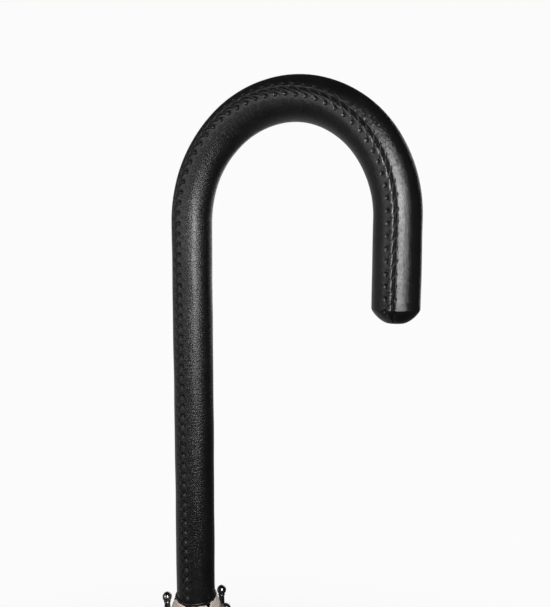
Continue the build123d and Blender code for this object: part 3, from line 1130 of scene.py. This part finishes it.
@dataclass
class Canopy:
    """The cloth: gores of slats furled along their ribs, and the furled skin with its spiral pleats.

    A half gore is many narrow slats. Furled, they lie on each other along the rib, each a little further
    out than the one before, by a height that grows with its share of the gore's angle.
    """

    finishes: Finishes
    ribs: list[RibAxes]
    spread: float = field(init=False)  # a gore's angle at the apex, in radians
    apex_height: float = field(init=False)
    slats: int = 26  # in a half gore
    lowest: float = 1.97  # height of the first slat, along the gore's normal
    rise: float = 4.2  # from there to the height of the slat for the whole gore
    slat_wall: float = 0.02
    gore_start: float = 11.6
    gore_end: float = 562.0
    hem_hollow: float = 0.018  # the hem's dip between two ribs, as a share of its distance
    skin_low: float = 75.2
    skin_high: float = 627.0
    skin_rim: float = 19.5  # radius of the skin's upper edge
    skin_begin: float = 5.2  # degrees from a rib to its sector's first edge
    pleat: float = 1.15
    skin_wall: float = 0.35
    corner_low: float = 606.0
    corner_high: float = 660.3
    corner_foot: float = 10.95  # radius of the hem's upper edge, at the handle
    corner_middle: float = 17.0  # middle radius of the gathered hem
    corner_reach: float = 549.0  # from the pin, where the open hem corner lies on its rib
    washer_bore: float = 5.2
    strap_turn: float = 398.0  # degrees that the strap goes round

    def __post_init__(self) -> None:
        """Takes the gore's angle and the apex from the frame."""
        open_by = joint_named("rib_1_open")["range_deg"][1]
        couplings = frame["record"]["behaviour"]["couplings"]
        ratio = next(c["ratio"] for c in couplings if c["joint"] == "panel_1_spread")
        self.spread = math.radians(abs(open_by * ratio))
        self.apex_height = float(self.ribs[0].apex[2])

    @property
    def sector(self) -> float:
        """Angle between two furled ribs about the shaft, in radians."""
        return 2 * math.pi / len(self.ribs)

    def cloth(self, name: str, front: Array, back: Array, uv: Array, sharp: float) -> bpy.types.Object:
        """Makes a closed sheet of the canopy's cloth.

        Args:
            name: the piece's name.
            front: rows x columns x 3.
            back: the same points on the other face.
            uv: rows x columns x 2.
            sharp: edges that turn by more than this, in degrees, stay crisp.

        Returns:
            The new object.
        """
        return Surface(name).sheet(front, back, uv).finished(self.finishes.of(Slot.CLOTH), sharp)

    # Open canopy

    def hem(self, angle: Array) -> Array:
        """Distance from the apex to the hem: a straight line between two tips, drawn in between them.

        Args:
            angle: angle from the gore's first rib, in radians.

        Returns:
            gore_end cos(g/2) / cos(g/2 - angle), less the hollow of the hem.
        """
        half = self.spread / 2
        hollow = self.hem_hollow * np.sin(np.clip(angle / self.spread, 0, 1) * math.pi)
        return self.gore_end * math.cos(half) / np.cos(half - angle) * (1 - hollow)

    def slat_height(self, share: Array) -> Array:
        """Height above the rib of the slat that stands for a share of the gore.

        The share eases in and out as w = 3t^2 - 2t^3, so t = 1/2 - sin(asin(1 - 2w) / 3).

        Args:
            share: the share of the gore's angle, from 0 to 1.

        Returns:
            The height, along the gore's normal.
        """
        return self.lowest + self.rise * (0.5 - np.sin(np.arcsin(1 - 2 * share) / 3))

    def half_gore(self, rib: RibAxes, half: Half) -> None:
        """Half of a gore, as slats that lie furled on each other.

        Args:
            rib: the gore's first rib.
            half: which rib the half is sewn to.
        """
        near = half is Half.NEAR
        pitch = self.spread / (2 * self.slats)
        surface = Surface(f"gore_{rib.number}_{half.value}")
        distance = np.linspace(0.0, 1.0, 13)[:, None]
        overlap = 0.56 * pitch
        for number in range(self.slats):
            turn = (number + (0.25 if near else 0.75)) * pitch
            span = np.linspace(-overlap if number else -turn, overlap, 3)[None, :]
            whole = (turn + span) if near else (self.spread - turn - span)
            reach = self.gore_start + distance * (self.hem(whole) - self.gore_start)
            sign = 1 if near else -1
            height = self.slat_height(turn / self.spread)
            flat = np.stack([reach * np.sin(sign * span), 0 * reach + height, reach * np.cos(span)], -1)
            under = flat - np.array([0, self.slat_wall, 0])
            uv = np.stack([reach * np.sin(whole), reach * np.cos(whole)], -1)
            surface.sheet(rib.gore_place(flat), rib.gore_place(under), uv)
        piece = surface.finished(self.finishes.of(Slot.CLOTH), sharp=30)
        start = rib.apex + self.lowest * rib.normal
        end = start + self.rise * rib.normal
        start * MM
        end * MM
        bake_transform(piece)
        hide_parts(f"canopy_panel_{rib.number}")
        half_width = self.gore_end * math.sin(self.spread / 2)
        length = self.gore_end * math.cos(self.spread / 2)
        half_width * MM
        length * MM
        0.5 * half_width * length * MM * MM
        log.info("%s: %d faces", piece.name, len(piece.data.polygons))

    def seam_tape(self, rib: RibAxes) -> None:
        """The felled seam over one rib: a narrow strip folded over the ridge, wider towards the hem.

        Args:
            rib: the rib that it covers.
        """
        lean = math.asin(float(rib.normal @ rib.side))
        reach = np.linspace(self.gore_start + 14, self.gore_end - 18, 24)[:, None]
        side = np.linspace(-1, 1, 9)[None, :]
        width = 0.9 + 2.4 * reach / self.gore_end
        clearance, wall, flat_width = 0.27, 0.2, 10.0
        over = (width * np.abs(side) / reach + 1.4 * self.spread / (2 * self.slats)) / self.spread
        height = self.slat_height(over) + clearance
        tangent = width * side * math.cos(lean)
        drop = width * np.abs(side) * math.sin(lean)
        out = height / math.cos(lean) - drop
        along = reach - np.linalg.norm(rib.pin - rib.apex)
        front = np.stack([out + 0 * tangent, tangent, along + 0 * tangent], -1)
        back = front - np.array([wall, 0, 0])
        uv = np.stack([width * side, reach + 0 * side], -1)
        piece = self.cloth(f"seam_tape_{rib.number}", rib.place(front), rib.place(back), uv, 40)
        settle(piece, f"rib_{rib.number}")
        length = float(reach[-1, 0] - reach[0, 0])
        float(2 * width.mean()) * length * MM * MM

    # Furled canopy

    def core_radius(self, height: Array) -> Array:
        """Radius of the furled bundle under its pleats: it grows towards the hems and narrows above them."""
        heights = [75, 79, 84, 94, 563, 590, 600, 606, 612, 628]
        return np.interp(height, heights, [12.4, 12.7, 12.9, 13.1, 21.25, 21.0, 20.7, 20.3, 19.5, 18.3])

    def fold_azimuth(self, height: Array) -> Array:
        """Azimuth of one pleat's outer edge, about the shaft.

        The folded edge stands half a gore's angle off the rib, so it climbs the bundle as a spiral whose
        slope is tan(g/2) / r. Past the corner of the gore the outer edge is the hem, which falls back across
        the bundle at 0.55 cot(g/2) / r. The azimuth is the running sum of that slope up the shaft.

        Args:
            height: heights above the foot, rising.

        Returns:
            The azimuth at each height, in radians.
        """
        fine = np.linspace(self.skin_low, self.skin_high + 4, 1200)
        slope = math.tan(self.spread / 2)
        corner = self.apex_height + self.gore_end * math.cos(self.spread / 2) ** 2
        turning = smooth((fine - corner + 4) / 8)
        rate = (slope * (1 - turning) - turning / slope * 0.55) / self.core_radius(fine)
        total = np.concatenate([[0.0], np.cumsum(rate[1:] * np.diff(fine))])
        return np.interp(height, fine, total)

    def skin_radius(self, azimuth: Array, height: Array) -> Array:
        """Radius of the furled skin: core + pleat depth x a ramp that rises to each folded edge and drops.

        Args:
            azimuth: azimuths about the shaft from the first rib, in radians, rows x columns.
            height: heights, rows x columns.

        Returns:
            The radii, rows x columns.
        """
        wander = ripple((0.05, azimuth * 2 + height / 31), (0.035, azimuth * 3 - height / 17),
                        (0.03, azimuth + height / 11))
        share = ((azimuth - self.fold_azimuth(height) - wander) / self.sector) % 1.0
        ramp = share ** 0.85
        lip = bell(share, 0.90, 0.05)
        drop = 1 - smooth((share - 0.925) / 0.075)
        squeeze = 1 - 0.5 * bell(height, 574, 16)
        late = 1 - 0.35 * smooth((height - 520) / 40) - 0.65 * smooth((height - 584) / 20)
        wrinkle = ripple((0.06, azimuth * 6 + height / 6.1), (0.05, azimuth * 12 - height / 9.3 + 1.0),
                         (0.05, azimuth * 18 + height / 3.7))
        near_strap = bell(height, 574, 34)
        near_hem = smooth((height - 585) / 45) * (1 - 0.5 * smooth((height - 596) / 10))
        gathers = (0.22 * near_strap + 0.5 * near_hem) * np.sin(azimuth * 36 + 2 * np.sin(azimuth * 5))
        depth = self.pleat * squeeze * late * (0.2 + 0.8 * smooth((height - 78) / 30))
        return self.core_radius(height) + depth * (ramp + 0.28 * lip) * drop + wrinkle + gathers + 0.25

    def skin(self, rib: RibAxes) -> None:
        """A sector of the furled skin from its rib to the next.

        Its upper edge follows the hem of its rib's gore.

        Args:
            rib: the rib that the sector moves with.
        """
        rows, columns, flat_radius, short_of_hem, on_gore = 550, 47, 20.0, 0.8, 1.72
        begin = (rib.number - 1) * self.sector + math.radians(self.skin_begin)
        turn = begin + np.linspace(0, self.sector, columns)[None, :]
        azimuth = turn + self.ribs[0].azimuth
        ring = about_shaft(np.array(self.skin_rim), azimuth[0], np.array(self.skin_high))
        sideways = np.abs((ring - rib.apex) @ rib.across)
        top = self.apex_height + self.hem(sideways / self.gore_end) - short_of_hem
        height = self.skin_low + np.linspace(0, 1, rows)[:, None] * (top - self.skin_low)
        radius = self.skin_radius(turn + 0 * height, height)
        uv = np.stack([flat_radius * turn + 0 * height, height + 0 * turn], -1)
        piece = self.cloth(f"furled_cloth_{rib.number}", about_shaft(radius, azimuth, height),
                           about_shaft(radius - self.skin_wall, azimuth, height), uv, 80)
        settle(piece, f"rib_{rib.number}")
        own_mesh(piece)
        width, length = self.sector * float(radius.mean()), float(top.mean()) - self.skin_low
        width * MM
        length * MM

    def hem_corner(self, rib: RibAxes) -> None:
        """The hem gathered round the foot of the handle, a sixth of the way round at each tip.

        The cloth narrows from the bundle to the handle, and soft folds run up it: the radius swings with the
        azimuth, less and less towards the top, whose edge dips in a notch between two tips.

        Args:
            rib: the rib that it is sewn to.
        """
        rows, columns, flat_radius, wall = 40, 41, 13.0, 0.3
        share = np.linspace(0, 1, columns)[None, :]
        turn = (rib.number - 1.5) * self.sector + share * self.sector
        notch = 3.2 * bell(share, 0.0, 0.10) + 3.2 * bell(share, 1.0, 0.10)
        notch = notch + 0.25 * (1 + np.sin(share * 19 + rib.number))
        top = self.corner_high - notch * (0.35 + 0.65 * ((rib.number * 7) % 5) / 4)
        height = self.corner_low + np.linspace(0, 1, rows)[:, None] * (top - self.corner_low)
        swell = np.interp(height, [606, 614, 620, 626, 634, 641, 648, 653, 657, 660.4],
                          [21.9, 21.9, 21.4, 20.2, 17.8, 15.8, 14.1, 13.0, 11.8, self.corner_foot])
        fold = 0.55 * np.sin(turn * 12 + 0.8) + 0.4 * np.sin(turn * 30 + height / 5)
        radius = swell + fold * np.interp(height, [606, 622, 640, 652, 660], [0.2, 0.5, 0.9, 0.5, 0.08])
        azimuth = turn + self.ribs[0].azimuth
        uv = np.stack([flat_radius * turn + 0 * height, height], -1)
        piece = self.cloth(f"hem_corner_{rib.number}", about_shaft(radius, azimuth, height),
                           about_shaft(radius - wall, azimuth, height), uv, 80)
        settle(piece, f"rib_{rib.number}")
        length = self.corner_high - self.corner_low
        slope = unit(length * rib.along - self.corner_foot * rib.out)
        seat = rib.place(np.array([0, 0, self.corner_reach]))
        tuple(seat * MM)
        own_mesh(piece)
        self.sector * self.corner_middle * MM
        length * MM

    def hood(self) -> None:
        """The cloth over the crown: a bell from the rosette up over the pins, r = 8.6 + 2.1 t^0.45."""
        columns, flat_radius, wall, rise, flat_length = 96, 11.0, 0.35, 14.2, 14.8
        share = np.linspace(0, 1, 20)[:, None]
        azimuth = np.linspace(0, 2 * math.pi, columns + 1)[None, :-1]
        foot = node_box("rosette")[1][2] + 0.05
        height = foot + share * rise
        gathers = ripple((0.16, azimuth * 18), (0.1, azimuth * 6))
        radius = 8.6 + 2.1 * share ** 0.45 + share * gathers
        loop = np.concatenate([about_shaft(radius, azimuth, height),
                               about_shaft(radius - wall, azimuth, height)[::-1]])
        column = np.arange(columns + 1) * (2 * math.pi / columns) * flat_radius
        row = np.concatenate([height[:, 0], height[::-1, 0], height[:1, 0]])
        surface = Surface("crown_hood")
        surface.grid(loop, np.stack(np.meshgrid(column, row), -1), wrap_rows=True, wrap_cols=True)
        piece = surface.finished(self.finishes.of(Slot.CLOTH), sharp=80)
        settle(piece, "frame")
        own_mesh(piece)

    def rosette(self) -> None:
        """The cloth washer under the crown cap: a disc with a pinked edge and a sewn ring."""
        low, high = node_box("rosette")
        azimuth = np.linspace(0, 2 * math.pi, 193)[None, :-1]
        edge = high[1] - 0.25 + 0.25 * np.cos(azimuth * 32)
        share = np.concatenate([np.linspace(0, 1, 14), np.linspace(1, 0, 14)])[:, None]
        upper = np.arange(28)[:, None] < 14
        radius = self.washer_bore + share * (edge - self.washer_bore)
        ring = 0.16 * bell(radius, 11.2, 0.35)
        height = np.where(upper, high[2] - 0.25, low[2] + 0.25 + ring) + 0.12 * share * np.sin(azimuth * 9)
        u = np.concatenate([azimuth[0], [2 * math.pi]]) * 10
        uv = np.stack(np.meshgrid(u, np.concatenate([share[:, 0], [0]]) * 8), -1)
        surface = Surface("rosette_washer")
        surface.grid(about_shaft(radius, azimuth, height), uv, wrap_rows=True, wrap_cols=True)
        piece = surface.finished(self.finishes.of(Slot.CLOTH), sharp=50)
        settle(piece, "frame", "rosette")
        math.pi * (high[1] ** 2 - self.washer_bore ** 2) * MM * MM

    def strap(self) -> None:
        """The tie strap: a hemmed band wound once round the bundle, its end lapped under the snap.

        Its radius grows by a little more than its own thickness in a turn, and its end is rounded off.
        """
        low, high = node_box("tie_strap")
        depth, wall, lap_step = 0.70, 0.3, 0.42
        inner = high[1] - depth
        past_rib = math.radians(18)
        turn = np.linspace(0, math.radians(self.strap_turn), 260)[None, :]
        across = np.linspace(-1, 1, 15)[:, None]
        middle, half = (low[2] + high[2]) / 2, (high[2] - low[2]) / 2
        to_end = np.minimum(turn[:, -1:] - turn, turn) * inner
        reach = half * np.sqrt(np.clip(1 - (1 - np.clip(to_end / half, 0, 1)) ** 2, 0.02, 1))
        height = middle + across * reach + 0.35 * np.sin(turn * 2)
        radius = inner + lap_step * turn / (2 * math.pi) + 0.07 * bell(np.abs(across), 0.84, 0.06)
        radius = radius + 0.05 * np.sin(turn * 9) * (1 - across ** 2)
        first = self.ribs[0]
        azimuth = first.azimuth - past_rib - turn[:, ::-1]
        uv = np.stack([turn * inner + 0 * height, height], -1)
        piece = self.cloth("strap_band", about_shaft(radius + wall, azimuth, height),
                           about_shaft(radius, azimuth, height), uv, 50)
        settle(piece, "rib_1", "tie_strap")
        lean = 0.0154
        rise = node_box("strap_snap")[0][2] - first.pin[2]
        off_pin = (high[1] + 0.02) - math.hypot(first.pin[0], first.pin[1]) - rise * lean
        seat = first.pin + first.out * off_pin
        tuple(seat * MM)
        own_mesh(piece)
        math.radians(self.strap_turn) * inner * MM
        2 * half * MM

    def build(self) -> None:
        """Makes the cloth's pieces."""
        for rib in self.ribs:
            self.half_gore(rib, Half.NEAR)
            self.half_gore(rib, Half.FAR)
            self.seam_tape(rib)
            self.skin(rib)
            self.hem_corner(rib)
        self.hood()
        self.rosette()
        self.strap()


# The studio

@dataclass
class Studio:
    """A pale floor, soft lights and the camera."""

    camera_place: tuple = (0.1885, -0.2374, 0.8462)
    camera_turn: float = 0.5343
    camera_tilt: float = -0.1023
    camera_roll: float = -0.0031
    lens: float = 35.58
    backdrop: float = 0.965
    toward: tuple = (-0.866, 0.5, 0.0)
    middle: float = 0.05

    def floor(self) -> None:
        """Lays a round pale floor that fades out far from the object."""
        rings = np.concatenate([[0.001], np.linspace(40, 3600, 40)])
        points = turned(np.stack([rings, 0 * rings], 1), 96)
        surface = Surface("floor")
        surface.grid(points, wrap_cols=True, cap_first=True)
        shader = Shader("floor", Roughness=0.9, Specular_IOR_Level=0.1, Emission_Strength=0.62)
        place = shader.place()
        mottle = shader.noise(place, 3.0)
        shader.feed("Base Color", shader.blend(mottle, (0.84, 0.84, 0.84), (0.88, 0.88, 0.88)))
        shader.surface.inputs["Emission Color"].default_value = (1, 1, 1, 1)
        away = shader.node("ShaderNodeVectorMath", {"operation": "LENGTH"}, {0: place}, output="Value")
        fade = shader.node("ShaderNodeMapRange", {"interpolation_type": "SMOOTHSTEP"},
                           {"Value": away, "From Min": 0.25, "From Max": 1.25})
        clear = shader.node("ShaderNodeBsdfTransparent")
        solid = Value(shader, shader.surface.outputs[0])
        whole = shader.node("ShaderNodeMixShader", {}, {0: fade, 1: solid, 2: clear})
        shader.tree.links.new(whole.socket, shader.output.inputs["Surface"])
        floor = surface.finished(shader.material)
        floor.visible_glossy = False

    def lamp(self, name: str, azimuth: float, distance: float, height: float, size: tuple[float, float],
             glow: float, aim: float) -> None:
        """Hangs a soft box that faces the handle.

        Args:
            name: the lamp's name.
            azimuth: its direction from the handle's middle, in degrees.
            distance: how far it stands from there, in metres.
            height: its height, in metres.
            size: its width and height, in metres.
            glow: how bright its face looks.
            aim: height that it faces, in metres.
        """
        data = bpy.data.lights.new(name, "AREA")
        data.shape = "RECTANGLE"
        data.size, data.size_y = size
        data.energy = glow * math.pi * size[0] * size[1]
        lamp = bpy.data.objects.new(name, data)
        angle = math.radians(azimuth)
        lamp.location = (self.middle + distance * math.cos(angle), distance * math.sin(angle), height)
        aim_at = Vector((self.middle, 0.0, aim))
        lamp.rotation_euler = (aim_at - lamp.location).to_track_quat("-Z", "Y").to_euler()
        lamp.visible_camera = False
        bpy.context.scene.collection.objects.link(lamp)

    def world(self) -> None:
        """Makes a pale backdrop, bright behind the object and dim round the room for its reflections."""
        world = bpy.data.worlds.new("room")
        bpy.context.scene.world = world
        world.use_nodes = True
        room = Nodes(world.node_tree)
        ray = room.node("ShaderNodeLightPath", output="Is Camera Ray")
        look = room.node("ShaderNodeTexCoord", output="Generated")
        facing = room.node("ShaderNodeVectorMath", {"operation": "DOT_PRODUCT"}, {0: look, 1: self.toward},
                           output="Value")
        smoothly = {"interpolation_type": "SMOOTHSTEP"}
        shade = room.node("ShaderNodeMapRange", smoothly,
                          {"Value": facing, "From Min": 0.2, "From Max": 0.9, "To Min": 0.02, "To Max": 0.36})
        height = room.node("ShaderNodeSeparateXYZ", {}, {0: look}, output="Z")
        low = room.node("ShaderNodeMapRange", smoothly,
                        {"Value": height, "From Min": -0.05, "From Max": 0.40, "To Min": 1.0, "To Max": 0.12})
        glow = ray * self.backdrop + (1 - ray) * shade * low
        background = room.node("ShaderNodeBackground", {}, {"Strength": glow, "Color": (1, 1, 1, 1)})
        output = room.tree.nodes.new("ShaderNodeOutputWorld")
        room.tree.links.new(background.socket, output.inputs["Surface"])

    def camera(self) -> None:
        """Sets the camera beside the handle, level with it and turned a little down."""
        data = bpy.data.cameras.new("camera")
        data.lens = self.lens
        data.sensor_width = 36.0
        data.clip_start = 0.01
        camera = bpy.data.objects.new("camera", data)
        turn = (Matrix.Rotation(self.camera_turn, 4, "Z") @ Matrix.Rotation(self.camera_tilt, 4, "X")
                @ Matrix.Rotation(self.camera_roll, 4, "Y") @ Matrix.Rotation(math.pi / 2, 4, "X"))
        camera.matrix_world = Matrix.Translation(self.camera_place) @ turn
        bpy.context.scene.collection.objects.link(camera)
        bpy.context.scene.camera = camera

    def build(self) -> None:
        """Sets the studio up."""
        self.floor()
        self.lamp("key", -45.5, 0.337, 0.91, (0.11, 0.30), 23.0, 0.86)
        self.lamp("low", -104, 0.9, 0.34, (0.16, 0.34), 1.5, 0.3)
        self.lamp("front", -112, 1.1, 1.14, (1.0, 0.8), 2.1, 0.84)
        self.lamp("back", 100, 2.2, 1.1, (1.6, 1.4), 1.2, 0.6)
        self.world()
        self.camera()
        view = bpy.context.scene.view_settings
        view.view_transform = "Standard"
        view.look = "None"


def main() -> None:
    """Builds the umbrella's looks round its construction."""
    logging.basicConfig(level=logging.INFO, format="%(message)s")
    finishes = Finishes()
    ribs = [RibAxes.of(number) for number in range(1, 7)]
    Studio().build()
    Crook(finishes).build()
    Metalwork(finishes, ribs).build()
    Canopy(finishes, ribs).build()


if __name__ == "__main__":
    main()
